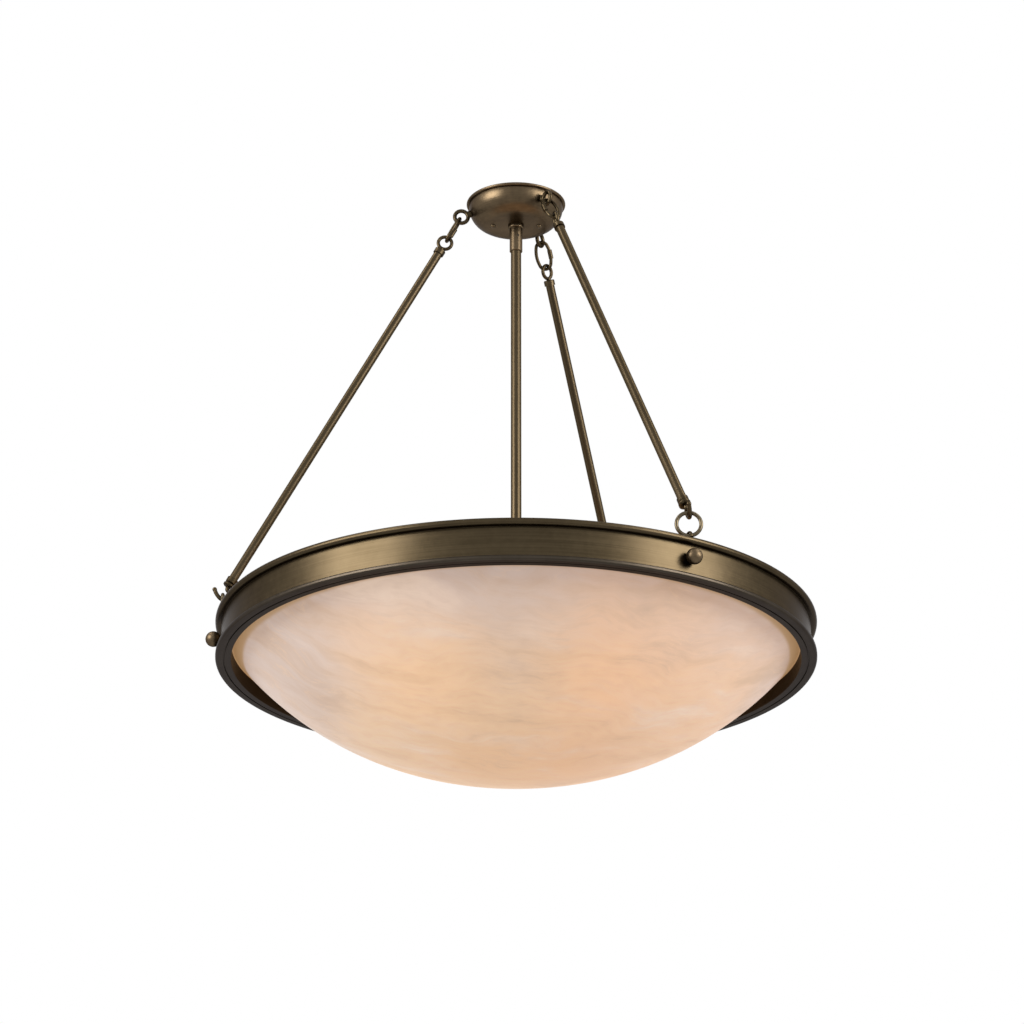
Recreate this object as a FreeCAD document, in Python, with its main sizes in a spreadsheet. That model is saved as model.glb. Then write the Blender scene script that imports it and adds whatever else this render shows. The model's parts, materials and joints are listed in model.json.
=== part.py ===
import FreeCAD, Part
import math
import os

import Sketcher

# A bowl pendant that hangs from a ceiling canopy.  Three legs, each a loop, an oval link, a rod with
# an eye and an open hook, and a hang ring, carry a round metal frame.  A stone bowl rests in the frame.
# A stem carries the lamp cluster inside the bowl.  Millimetres, +Z up, and the origin is the middle of
# the canopy's ceiling face, so everything hangs below zero.

DRIVING = {
    # canopy and what is inside it
    "canopy_radius": 65.5, "canopy_depth": 33.0, "canopy_flat": 36.0, "canopy_side_arc": 26.0,
    "canopy_lip": 4.0, "canopy_wall": 1.2,
    "crossbar_length": 104.0, "crossbar_width": 20.0, "crossbar_thick": 2.5,
    "box_slot_span": 88.9, "box_slot_length": 12.0, "box_slot_width": 4.8,
    "screw_span": 61.0, "screw_radius": 1.8, "screw_head_radius": 3.7, "screw_head_height": 2.6,
    "nipple_radius": 4.8, "nipple_bore": 3.4, "nipple_grip": 12.0, "nut_radius": 8.0, "nut_thick": 3.6,
    # stem and its collar
    "stem_radius": 6.85, "stem_wall": 2.0,
    "collar_radius": 8.45, "collar_length": 38.0, "collar_lip_radius": 10.4, "collar_lip_height": 2.5,
    "set_screw_radius": 1.6, "set_screw_drop": 17.0, "set_screw_turn": 290.0,
    # lamp cluster
    "cluster_radius": 24.0, "cluster_height": 24.0, "cluster_neck_radius": 10.5,
    "cluster_neck_height": 9.0, "cluster_wall": 4.0, "cluster_lift": 6.0, "finial_radius": 9.0, "finial_height": 15.0,
    "lamp_turn": 45.0, "arm_radius": 5.0, "arm_wall": 1.2, "arm_length": 42.0, "arm_grip": 6.0,
    "holder_radius": 17.5, "holder_length": 38.0, "holder_back": 7.0,
    "bulb_base_radius": 13.0, "bulb_radius": 30.0, "bulb_length": 106.0, "bulb_wall": 1.2,
    # legs
    "first_leg_turn": 183.6, "loop_reach": 72.4, "loop_drop": 22.0, "loop_major": 8.8,
    "loop_wire": 2.6, "loop_collar_radius": 4.6, "loop_shank_radius": 2.4,
    "link_length": 41.0, "link_width": 23.0, "link_wire": 2.2, "link_end_arc": 7.5,
    "sleeve_radius": 3.1, "sleeve_length": 12.0,
    "eye_major": 8.85, "eye_wire": 2.3, "rod_radius": 5.75, "rod_wall": 1.25,
    "ferrule_radius": 7.2, "ferrule_length": 7.4, "knuckle_radius": 7.7, "knuckle_length": 5.0,
    "spigot_length": 10.0, "hook_arc": 7.0, "hook_bend": 3.5, "hook_wire": 2.6, "hook_tip_reach": 13.0,
    "ring_major": 14.8, "ring_wire": 2.4, "ring_turn_left": 0.0, "ring_turn_rear": 0.0,
    "ring_turn_front": -33.0, "rod_turn_left": 0.0, "rod_turn_rear": 15.0, "rod_turn_front": 28.0,
    "link_turn_left": 0.0, "link_turn_rear": -22.0, "link_turn_front": 12.0,
    # frame
    "frame_drop": 648.5, "frame_radius": 381.0, "frame_height": 53.5, "bead_arc": 4.5,
    "bead_reach": 8.0, "band_wall": 2.5,
    "trim_reach": 7.0, "trim_thick": 6.5, "trim_round": 2.6, "flange_reach": 13.0,
    "upstand_wall": 2.2, "seat_height": 20.0, "seat_width": 6.3, "seat_thick": 2.0,
    "groove_inset": 11.0, "groove_width": 1.8, "groove_depth": 1.6,
    "gasket_thick": 0.8, "gasket_width": 3.8,
    "catch_inset": 0.5, "catch_arc": 5.4, "catch_wire": 1.5,
    "pad_radius": 6.5, "pad_thick": 5.0, "stud_radius": 2.6, "stud_height": 27.0,
    "ball_radius": 10.0, "ball_stand_off": 1.2,
    # bowl
    "bowl_neck_gap": 0.8, "bowl_depth": 159.5, "bowl_floor_arc": 520.0, "bowl_shoulder": 150.0,
    "bowl_wall": 10.0, "bowl_lip_inset": 2.0, "bowl_lip_height": 10.0,
    # clearances
    "fit_gap": 0.1, "seat_gap": 0.3, "rest_gap": 0.2, "ring_over_rim": 0.5,
}
LAMP_COUNT = 4
LEG_NAMES = ("left", "rear", "front")
FULL_TURN = 360.0


class Size:
    """A number together with the sheet formula that gives it."""

    def __init__(self, value, text):
        self.value = value
        self.text = text

    def combined(self, other, sign, swap=False):
        other = as_size(other)
        left, right = (other, self) if swap else (self, other)
        results = {"+": lambda a, b: a + b, "-": lambda a, b: a - b,
                   "*": lambda a, b: a * b, "/": lambda a, b: a / b}
        value = results[sign](left.value, right.value)
        return Size(value, f"({left.text} {sign} {right.text})")

    def __add__(self, other):
        return self.combined(other, "+")

    def __radd__(self, other):
        return self.combined(other, "+", swap=True)

    def __sub__(self, other):
        return self.combined(other, "-")

    def __rsub__(self, other):
        return self.combined(other, "-", swap=True)

    def __mul__(self, other):
        return self.combined(other, "*")

    def __rmul__(self, other):
        return self.combined(other, "*", swap=True)

    def __truediv__(self, other):
        return self.combined(other, "/")

    def __rtruediv__(self, other):
        return self.combined(other, "/", swap=True)

    def __neg__(self):
        return Size(-self.value, f"(0 - {self.text})")


def as_size(number):
    return number if isinstance(number, Size) else Size(float(number), f"{float(number):.9g}")


def root(size):
    return Size(math.sqrt(size.value), f"sqrt({size.text})")


def hypotenuse(across, along):
    return root(across * across + along * along)


def other_side(long_side, short_side):
    return root(long_side * long_side - short_side * short_side)


class Sheet:
    """The driving dimensions as a spreadsheet, read back as sizes."""

    def __init__(self, document, numbers):
        table = document.addObject("Spreadsheet::Sheet", "sizes")
        for row, (name, number) in enumerate(numbers.items(), start=1):
            table.set(f"A{row}", name)
            table.set(f"B{row}", str(number))
            table.setAlias(f"B{row}", name)
        self.numbers = numbers

    def __getattr__(self, name):
        return Size(self.numbers[name], f"sizes.{name}")


doc = FreeCAD.newDocument("bowl_pendant")
dim = Sheet(doc, DRIVING)
doc.recompute()
pieces = []


# ---- tools of the trade -------------------------------------------------------------------------

def new_body(name):
    return doc.addObject("PartDesign::Body", name)


def origin_plane(body, role):
    return [feature for feature in body.Origin.OriginFeatures if feature.Role == role][0]


def new_sketch(body, role, name, offset=None):
    sketch = body.newObject("Sketcher::SketchObject", name)
    sketch.AttachmentSupport = [(origin_plane(body, role), "")]
    sketch.MapMode = "FlatFace"
    if offset is not None:
        sketch.setExpression("AttachmentOffset.Base.z", offset.text)
    return sketch


def pin_point(sketch, edge, end, corner):
    """Holds one end of an edge at the corner's place."""
    for axis, kind, size in ((-2, "DistanceX", corner[0]), (-1, "DistanceY", corner[1])):
        if isinstance(size, Size):
            held = sketch.addConstraint(Sketcher.Constraint(kind, -1, 1, edge, end, size.value))
            sketch.setExpression(f"Constraints[{held}]", size.text)
        else:
            sketch.addConstraint(Sketcher.Constraint("PointOnObject", edge, end, axis))


def place_of(corner):
    return FreeCAD.Vector(as_size(corner[0]).value, as_size(corner[1]).value, 0)


def add_arc(sketch, start, end, radius):
    """An arc of under half a circle: counterclockwise for a positive radius, else clockwise."""
    first, last = (start, end) if radius.value > 0 else (end, start)
    length = abs(radius.value)
    chord = last - first
    left = FreeCAD.Vector(-chord.y, chord.x, 0).normalize()
    inward = math.sqrt(max(length ** 2 - chord.Length ** 2 / 4, 0.0))
    centre = (first + last) * 0.5 + left * inward
    angles = [math.atan2(point.y - centre.y, point.x - centre.x) for point in (first, last)]
    circle = Part.Circle(centre, FreeCAD.Vector(0, 0, 1), length)
    edge = sketch.addGeometry(Part.ArcOfCircle(circle, angles[0], angles[1]))
    held = sketch.addConstraint(Sketcher.Constraint("Radius", edge, length))
    sketch.setExpression(f"Constraints[{held}]", radius.text if radius.value > 0 else (-radius).text)
    return edge


def outline(sketch, corners, closed=True):
    """Edges through the corners.  A corner with a third size starts an arc of that radius.

    A plain 0 puts a corner on an axis; every other place is a size from the sheet.
    """
    edges = []
    count = len(corners) if closed else len(corners) - 1
    for index in range(count):
        corner = corners[index]
        following = corners[(index + 1) % len(corners)]
        start, end = place_of(corner), place_of(following)
        if len(corner) == 3:
            edge = add_arc(sketch, start, end, corner[2])
            ends = (1, 2) if corner[2].value > 0 else (2, 1)
        else:
            edge = sketch.addGeometry(Part.LineSegment(start, end))
            ends = (1, 2)
        edges.append((edge, ends))
        pin_point(sketch, edge, ends[0], corner)
    for index in range(count if closed else count - 1):
        edge, ends = edges[index]
        next_edge, next_ends = edges[(index + 1) % len(edges)]
        sketch.addConstraint(Sketcher.Constraint("Coincident", edge, ends[1], next_edge, next_ends[0]))
    if not closed:
        edge, ends = edges[-1]
        pin_point(sketch, edge, ends[1], corners[-1])


def ring_outline(sketch, radius, across=0, along=0):
    place = place_of((across, along))
    edge = sketch.addGeometry(Part.Circle(place, FreeCAD.Vector(0, 0, 1), radius.value))
    held = sketch.addConstraint(Sketcher.Constraint("Radius", edge, radius.value))
    sketch.setExpression(f"Constraints[{held}]", radius.text)
    pin_point(sketch, edge, 3, (across, along))


def turned(name, corners):
    """A body turned about its Z axis from a half section in X and Z."""
    body = new_body(name)
    sketch = new_sketch(body, "XZ_Plane", name + "_section")
    outline(sketch, corners)
    turn = body.newObject("PartDesign::Revolution", name + "_turn")
    turn.Profile = sketch
    turn.ReferenceAxis = (sketch, ["V_Axis"])
    turn.Angle = FULL_TURN
    sketch.Visibility = False
    return body


def swept(name, role, path, wire, start):
    """A body whose round wire follows a path that leaves the start squarely along Z."""
    body = new_body(name)
    spine = new_sketch(body, role, name + "_path")
    outline(spine, path["corners"], closed=path["closed"])
    section = new_sketch(body, "XY_Plane", name + "_wire", offset=start[2])
    ring_outline(section, wire, start[0], start[1])
    pipe = body.newObject("PartDesign::AdditivePipe", name + "_sweep")
    pipe.Profile = section
    pipe.Spine = spine
    return body


def cylinder(name, radius, length, place=None):
    solid = doc.addObject("Part::Cylinder", name)
    solid.setExpression("Radius", radius.text)
    solid.setExpression("Height", length.text)
    if place is not None:
        solid.Placement = place
    return solid


def hex_nut(name, radius, thick, place):
    solid = doc.addObject("Part::Prism", name)
    solid.Polygon = 6
    solid.setExpression("Circumradius", radius.text)
    solid.setExpression("Height", thick.text)
    solid.Placement = place
    return solid


def wire_ring(name, major, wire, place):
    solid = doc.addObject("Part::Torus", name)
    solid.setExpression("Radius1", major.text)
    solid.setExpression("Radius2", wire.text)
    solid.Placement = place
    return solid


def joined(name, parts):
    solid = doc.addObject("Part::MultiFuse", name)
    solid.Shapes = parts
    solid.Refine = True
    return solid


def grouped(name, parts):
    group = doc.addObject("Part::Compound", name)
    group.Links = parts
    return group


def drilled(name, base, tools):
    solid = doc.addObject("Part::Cut", name)
    solid.Base = base
    solid.Tool = tools[0] if len(tools) == 1 else grouped(name + "_drills", tools)
    return solid


def at(x=0.0, y=0.0, z=0.0, rotation=None):
    return FreeCAD.Placement(FreeCAD.Vector(x, y, z), rotation or FreeCAD.Rotation())


def lying(across=0.0, along=0.0):
    """Turns a ring's or cylinder's axis from Z to Y."""
    return at(across, 0, along, FreeCAD.Rotation(FreeCAD.Vector(1, 0, 0), 90))


def leaning(turn, lean, reach, drop):
    """A frame in the upright plane at this turn: its Z points down and outward at the lean angle."""
    turn, lean = math.radians(turn), math.radians(lean)
    out = FreeCAD.Vector(math.cos(turn), math.sin(turn), 0)
    up = FreeCAD.Vector(0, 0, 1)
    down_out = out * math.sin(lean) - up * math.cos(lean)
    up_out = out * math.cos(lean) + up * math.sin(lean)
    rotation = FreeCAD.Rotation(up_out, down_out.cross(up_out), down_out, "ZXY")
    return FreeCAD.Placement(out * reach - up * drop, rotation)


def keep(solid, label, place=None):
    solid.Label = label
    if place is not None:
        solid.Placement = place.multiply(solid.Placement)
    pieces.append(solid)
    return solid


# ---- places that several pieces share -----------------------------------------------------------

UPRIGHT = 180.0     # lean of a frame whose Z points up
OUTWARD = 90.0      # lean of a frame whose Z points straight out
band_radius = dim.frame_radius - dim.bead_reach
trim_radius = band_radius + dim.trim_reach
opening_radius = band_radius - dim.flange_reach
catch_radius = band_radius - dim.catch_inset
ring_catch_height = dim.frame_height + dim.ring_over_rim + dim.ring_wire     # ring's lowest wire centre
ring_seat_drop = dim.frame_drop - ring_catch_height - dim.ring_major * 2     # ring's highest wire centre
leg_across = catch_radius - dim.loop_reach
leg_down = ring_seat_drop - dim.loop_drop
leg_length = hypotenuse(leg_across, leg_down)
leg_lean = math.degrees(math.atan2(leg_across.value, leg_down.value))
dome_centre_drop = dim.canopy_depth - dim.canopy_side_arc
loop_across = dim.loop_reach - dim.canopy_flat
loop_down = dim.loop_drop - dome_centre_drop
loop_distance = hypotenuse(loop_across, loop_down)
loop_lean = math.degrees(math.atan2(loop_across.value, loop_down.value))
cluster_mid = dim.cluster_lift + dim.cluster_height / 2 - dim.frame_drop
stem_top = dim.canopy_depth + dim.fit_gap + dim.nipple_grip + dim.fit_gap
stem_end = dim.frame_drop - dim.cluster_lift - dim.cluster_height


def leg_turn(index):
    return dim.first_leg_turn.value - index * FULL_TURN / len(LEG_NAMES)


def loop_frame(index, distance=0.0):
    """On the line from the dome's side arc through a canopy loop."""
    frame = leaning(leg_turn(index), loop_lean, dim.canopy_flat.value, dome_centre_drop.value)
    return frame.multiply(at(z=distance))


def leg_frame(index, distance=0.0, twist=0.0):
    """On the line from a canopy loop's middle down to the seat of its hang ring."""
    frame = leaning(leg_turn(index), leg_lean, dim.loop_reach.value, dim.loop_drop.value)
    return frame.multiply(at(z=distance, rotation=FreeCAD.Rotation(FreeCAD.Vector(0, 0, 1), twist)))


def twist_of(piece, index):
    """How far the link or rod of this leg stands turned about the leg's line."""
    return getattr(dim, f"{piece}_turn_{LEG_NAMES[index]}").value


# ---- canopy and stem ----------------------------------------------------------------------------

def make_canopy():
    lip = dim.canopy_lip / 2
    side = dim.canopy_side_arc
    inner = side - dim.canopy_wall
    flat, depth = dim.canopy_flat, dim.canopy_depth
    bore = dim.nipple_radius + dim.fit_gap
    dome_top = flat + other_side(side, dim.canopy_lip - dome_centre_drop)
    shell = turned("canopy_shell", [
        (dim.canopy_radius - lip, 0, -lip),
        (dim.canopy_radius, -lip, -lip),
        (dim.canopy_radius - lip, -dim.canopy_lip),
        (dome_top, -dim.canopy_lip, -side),
        (flat, -depth),
        (bore, -depth),
        (bore, dim.canopy_wall - depth),
        (flat, dim.canopy_wall - depth, inner),
        (flat + inner, -dome_centre_drop),
        (flat + inner, 0),
    ])
    drills = []
    for index, name in enumerate(LEG_NAMES):
        drill = cylinder(f"loop_hole_{name}", dim.loop_shank_radius + dim.fit_gap, side,
                         loop_frame(index, side.value / 2))
        drills.append(drill)
    for sign in (-1, 1):
        drills.append(cylinder(f"screw_hole_{sign + 2}", dim.screw_radius + dim.fit_gap * 2, depth,
                               at(sign * dim.screw_span.value / 2, 0, -depth.value * 1.5)))
    keep(drilled("canopy_cut", shell, drills), "canopy")


def make_crossbar():
    body = new_body("crossbar_body")
    half_long, half_wide = dim.crossbar_length / 2, dim.crossbar_width / 2
    plate = new_sketch(body, "XY_Plane", "crossbar_plate")
    outline(plate, [(-half_long, -half_wide), (half_long, -half_wide),
                    (half_long, half_wide), (-half_long, half_wide)])
    pad = body.newObject("PartDesign::Pad", "crossbar_pad")
    pad.Profile = plate
    pad.Reversed = True
    pad.setExpression("Length", dim.crossbar_thick.text)
    holes = new_sketch(body, "XY_Plane", "crossbar_holes")
    ring_outline(holes, dim.nipple_radius + dim.fit_gap)
    end_arc = dim.box_slot_width / 2
    for sign in (-1, 1):
        ring_outline(holes, dim.screw_radius + dim.fit_gap, dim.screw_span * sign / 2)
        middle = dim.box_slot_span * sign / 2
        reach = dim.box_slot_length / 2
        low, high = middle - reach, middle + reach
        outline(holes, [
            (low + end_arc, -end_arc), (high - end_arc, -end_arc, end_arc), (high, 0, end_arc),
            (high - end_arc, end_arc), (low + end_arc, end_arc, end_arc), (low, 0, end_arc),
        ])
    pocket = body.newObject("PartDesign::Pocket", "crossbar_pocket")
    pocket.Profile = holes
    pocket.Type = "ThroughAll"
    keep(body, "crossbar")


def make_canopy_screws():
    shank = dim.canopy_depth - dim.crossbar_thick / 4
    screws = []
    for sign in (-1, 1):
        across = sign * dim.screw_span.value / 2
        head_arc = dim.screw_head_radius
        screw = turned(f"canopy_screw_{sign + 2}", [
            (0, -dim.screw_head_height),
            (dim.screw_head_radius / 2, -dim.screw_head_height, head_arc),
            (dim.screw_head_radius, -dim.fit_gap),
            (dim.screw_radius, -dim.fit_gap),
            (dim.screw_radius, shank),
            (0, shank),
        ])
        slot = doc.addObject("Part::Box", f"screw_slot_{sign + 2}")
        slot.setExpression("Length", (dim.screw_head_radius * 2).text)
        slot.setExpression("Width", (dim.screw_head_radius / 4).text)
        slot.setExpression("Height", (dim.screw_head_height / 2).text)
        slot.Placement = at(-dim.screw_head_radius.value, -dim.screw_head_radius.value / 8,
                            -dim.screw_head_height.value)
        cut = drilled(f"canopy_screw_cut_{sign + 2}", screw, [slot])
        cut.Placement = at(across, 0, -dim.canopy_depth.value)
        screws.append(cut)
    keep(grouped("canopy_screw_pair", screws), "canopy_screws")


def make_nipple():
    top = dim.rest_gap
    end = dim.canopy_depth + dim.fit_gap + dim.nipple_grip
    keep(turned("nipple_tube", [
        (dim.nipple_bore, -top), (dim.nipple_radius, -top), (dim.nipple_radius, -end),
        (dim.nipple_bore, -end),
    ]), "centre_nipple")
    nuts = []
    for number, bottom in enumerate((
            -(dim.crossbar_thick + dim.fit_gap + dim.nut_thick),
            dim.canopy_wall + dim.fit_gap - dim.canopy_depth)):
        place = at(0, 0, bottom.value)
        nut = hex_nut(f"lock_nut_blank_{number}", dim.nut_radius, dim.nut_thick, place)
        bore = cylinder(f"lock_nut_bore_{number}", dim.nipple_radius + dim.fit_gap, dim.nut_thick, place)
        nuts.append(drilled(f"lock_nut_{number}", nut, [bore]))
    keep(grouped("lock_nut_pair", nuts), "lock_nuts")


def make_collar():
    top = dim.canopy_depth + dim.fit_gap
    lip = top + dim.collar_lip_height
    cove = dim.collar_lip_radius - dim.collar_radius
    end = top + dim.collar_length
    chamfer = dim.fit_gap * 8
    seat = top + dim.nipple_grip
    nipple_bore = dim.nipple_radius + dim.fit_gap
    stem_bore = dim.stem_radius + dim.fit_gap
    sleeve = turned("collar_sleeve", [
        (nipple_bore, -top), (dim.collar_lip_radius, -top), (dim.collar_lip_radius, -lip, -cove),
        (dim.collar_radius, -(lip + cove)), (dim.collar_radius, chamfer - end),
        (dim.collar_radius - chamfer, -end), (stem_bore, -end), (stem_bore, -seat),
        (nipple_bore, -seat),
    ])
    turn = dim.set_screw_turn.value
    drop = dim.canopy_depth.value + dim.set_screw_drop.value
    radial = leaning(turn, OUTWARD, 0, drop)
    drill = cylinder("set_screw_hole", dim.set_screw_radius, dim.collar_radius * 2, radial)
    keep(drilled("collar_cut", sleeve, [drill]), "stem_collar")
    grub_length = dim.collar_radius - stem_bore - dim.fit_gap
    grub = cylinder("grub", dim.set_screw_radius - dim.fit_gap, grub_length)
    key = hex_nut("grub_key", dim.set_screw_radius / 2, grub_length, at(0, 0, grub_length.value / 2))
    keep(drilled("grub_cut", grub, [key]), "collar_set_screw",
         radial.multiply(at(z=stem_bore.value)))


def make_stem():
    bore = dim.stem_radius - dim.stem_wall
    keep(turned("stem_tube", [
        (bore, -stem_top), (dim.stem_radius, -stem_top), (dim.stem_radius, -stem_end),
        (bore, -stem_end),
    ]), "stem")


# ---- lamp cluster -------------------------------------------------------------------------------

def lamp_frame(number, distance):
    turn = dim.lamp_turn.value + number * FULL_TURN / LAMP_COUNT
    return leaning(turn, OUTWARD, distance.value, -cluster_mid.value)


def make_cluster():
    low = dim.cluster_lift - dim.frame_drop
    high = low + dim.cluster_height
    ease = dim.cluster_height / 6
    neck_top = high + dim.cluster_neck_height
    stem_bore = dim.stem_radius + dim.fit_gap
    roof, floor = high - dim.cluster_wall, low + dim.cluster_wall
    room = dim.cluster_radius - dim.cluster_wall
    hub = turned("cluster_hub", [
        (0, low), (dim.cluster_radius - ease, low, ease), (dim.cluster_radius, low + ease),
        (dim.cluster_radius, high - ease, ease), (dim.cluster_radius - ease, high),
        (dim.cluster_neck_radius, high), (dim.cluster_neck_radius, neck_top),
        (stem_bore, neck_top), (stem_bore, roof), (room, roof), (room, floor), (0, floor),
    ])
    bores = []
    start = dim.cluster_radius - dim.arm_grip
    for number in range(LAMP_COUNT):
        bores.append(cylinder(f"arm_bore_{number + 1}", dim.arm_radius + dim.fit_gap,
                              dim.cluster_radius, lamp_frame(number, start)))
    keep(drilled("cluster_cut", hub, bores), "cluster_body")
    knob_arc = dim.finial_radius
    neck = dim.finial_radius / 2
    tip = low - dim.finial_height
    keep(turned("finial_turning", [
        (0, low - dim.fit_gap), (dim.finial_radius, low - dim.fit_gap, -knob_arc),
        (neck, low - dim.finial_height / 2), (neck * 1.3, low - dim.finial_height * 0.6, -knob_arc),
        (0, tip),
    ]), "cluster_finial")


def make_lamp(number):
    grip_start = dim.cluster_radius - dim.arm_grip
    arm_bore = dim.arm_radius - dim.arm_wall
    arm = turned(f"arm_tube_{number}", [
        (arm_bore, dim.fit_gap), (dim.arm_radius, dim.fit_gap), (dim.arm_radius, dim.arm_length),
        (arm_bore, dim.arm_length),
    ])
    keep(arm, f"lamp_arm_{number}", lamp_frame(number - 1, grip_start))
    back = grip_start + dim.arm_length - dim.holder_back + dim.fit_gap * 10
    shell = dim.holder_radius
    mouth = dim.bulb_base_radius + dim.fit_gap * 6
    ease = dim.holder_radius / 5
    arm_hole = dim.arm_radius + dim.fit_gap
    holder = turned(f"holder_cup_{number}", [
        (arm_hole, 0), (shell - ease, 0, ease), (shell, ease), (shell, dim.holder_length),
        (mouth, dim.holder_length), (mouth, dim.holder_back), (arm_hole, dim.holder_back),
    ])
    keep(holder, f"lamp_holder_{number}", lamp_frame(number - 1, back))
    base_start = dim.holder_back + dim.fit_gap * 10
    base_end = dim.holder_length + dim.seat_gap
    tip = dim.bulb_length
    globe = dim.bulb_radius
    globe_centre = tip - globe
    neck = dim.bulb_base_radius * 1.1
    shoulder = base_end + neck / 2
    waist_out = globe * 0.8
    waist_fall = other_side(globe, waist_out)
    flare = globe * 1.5
    glass = dim.bulb_wall
    inner = globe - glass
    bulb = turned(f"bulb_glass_{number}", [
        (dim.bulb_base_radius / 2, base_start),
        (dim.bulb_base_radius, base_start + dim.bulb_base_radius / 2),
        (dim.bulb_base_radius, base_end), (neck, base_end), (neck, shoulder, -flare),
        (waist_out, globe_centre - waist_fall, globe), (globe, globe_centre, globe), (0, tip),
        (0, tip - glass, -inner), (inner, globe_centre, -inner),
        (waist_out * inner / globe, globe_centre - waist_fall * inner / globe, flare + glass),
        (neck - glass, shoulder), (dim.bulb_base_radius / 2, base_end),
    ])
    keep(bulb, f"bulb_{number}", lamp_frame(number - 1, back))


# ---- one leg: loop, link, eye, rod, hook and ring -----------------------------------------------

def make_canopy_loop(index, name):
    ring = wire_ring(f"loop_ring_{name}", dim.loop_major, dim.loop_wire,
                     lying(along=loop_distance.value))
    collar_end = loop_distance - dim.loop_major
    collar = cylinder(f"loop_collar_{name}", dim.loop_collar_radius,
                      collar_end - dim.canopy_side_arc, at(z=dim.canopy_side_arc.value))
    shank_start = dim.canopy_side_arc - dim.canopy_wall - dim.nut_thick * 2
    shank = cylinder(f"loop_shank_{name}", dim.loop_shank_radius,
                     collar_end - shank_start, at(z=shank_start.value))
    keep(joined(f"loop_{name}", [ring, collar, shank]), f"canopy_loop_{name}", loop_frame(index))
    nut_radius = dim.loop_collar_radius
    nut_start = dim.canopy_side_arc - dim.canopy_wall - dim.nut_thick - dim.seat_gap * 1.5
    blank = hex_nut(f"loop_nut_blank_{name}", nut_radius, dim.nut_thick, at())
    bore = cylinder(f"loop_nut_bore_{name}", dim.loop_shank_radius + dim.fit_gap, dim.nut_thick)
    keep(drilled(f"loop_nut_cut_{name}", blank, [bore]), f"loop_nut_{name}",
         loop_frame(index, nut_start.value))


link_top = dim.loop_major - dim.loop_wire - dim.link_wire - dim.seat_gap
link_run = dim.link_length - dim.link_wire * 2
eye_place = link_top + link_run + dim.eye_major - dim.eye_wire - dim.link_wire - dim.seat_gap
rod_top = eye_place + dim.eye_major + dim.eye_wire + dim.ferrule_length
hook_place = leg_length - (dim.hook_arc - dim.hook_wire - dim.ring_wire - dim.seat_gap)
bend_height = root(dim.hook_arc * dim.hook_arc + dim.hook_arc * dim.hook_bend * 2)
knuckle_low = bend_height + dim.hook_wire / 2
knuckle_high = knuckle_low + dim.knuckle_length
ferrule_high = knuckle_high + dim.ferrule_length
rod_end = hook_place - ferrule_high


def make_link(index, name):
    """An oval of four tangent arcs, with a sleeve over the closed joint on one side."""
    end_arc = dim.link_end_arc
    half_width = dim.link_width / 2 - dim.link_wire
    half_run = link_run / 2
    end_centre = half_run - end_arc
    side_arc = ((half_width * half_width + end_centre * end_centre - end_arc * end_arc)
                / (half_width * 2 - end_arc * 2))
    side_centre = side_arc - half_width
    spread = side_arc - end_arc
    join_out = side_centre / spread * side_arc - side_centre
    join_up = end_centre / spread * side_arc
    oval = {"closed": True, "corners": [
        (half_width, 0, side_arc), (join_out, join_up, end_arc), (-join_out, join_up, side_arc),
        (-join_out, -join_up, end_arc), (join_out, -join_up, side_arc),
    ]}
    link = swept(f"link_oval_{name}", "YZ_Plane", oval, dim.link_wire, (0, half_width, dim.fit_gap * 0))
    sleeve = cylinder(f"link_sleeve_{name}", dim.sleeve_radius, dim.sleeve_length,
                      at(0, half_width.value, -dim.sleeve_length.value / 2))
    keep(joined(f"link_{name}", [link, sleeve]), f"chain_link_{name}",
         leg_frame(index, (link_top + half_run).value, twist_of("link", index)))


def make_eye(index, name):
    wire = dim.eye_wire
    collar_start = dim.eye_major + wire
    end = collar_start + dim.ferrule_length
    bore = dim.rod_radius - dim.rod_wall - dim.fit_gap
    ease = dim.ferrule_length / 8
    ring = wire_ring(f"eye_ring_{name}", dim.eye_major, wire, lying())
    ferrule = turned(f"eye_ferrule_{name}", [
        (0, dim.eye_major), (wire * 1.4, dim.eye_major), (wire * 1.4, collar_start),
        (dim.ferrule_radius - ease, collar_start), (dim.ferrule_radius, collar_start + ease),
        (dim.ferrule_radius, end), (bore, end), (bore, end + dim.spigot_length),
        (0, end + dim.spigot_length),
    ])
    keep(joined(f"eye_{name}", [ring, ferrule]), f"rod_eye_{name}",
         leg_frame(index, eye_place.value, twist_of("rod", index)))


def make_rod(index, name):
    length = rod_end - rod_top
    bore = dim.rod_radius - dim.rod_wall
    keep(turned(f"rod_tube_{name}", [
        (bore, 0), (dim.rod_radius, 0), (dim.rod_radius, length), (bore, length),
    ]), f"rod_{name}", leg_frame(index, rod_top.value))


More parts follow.
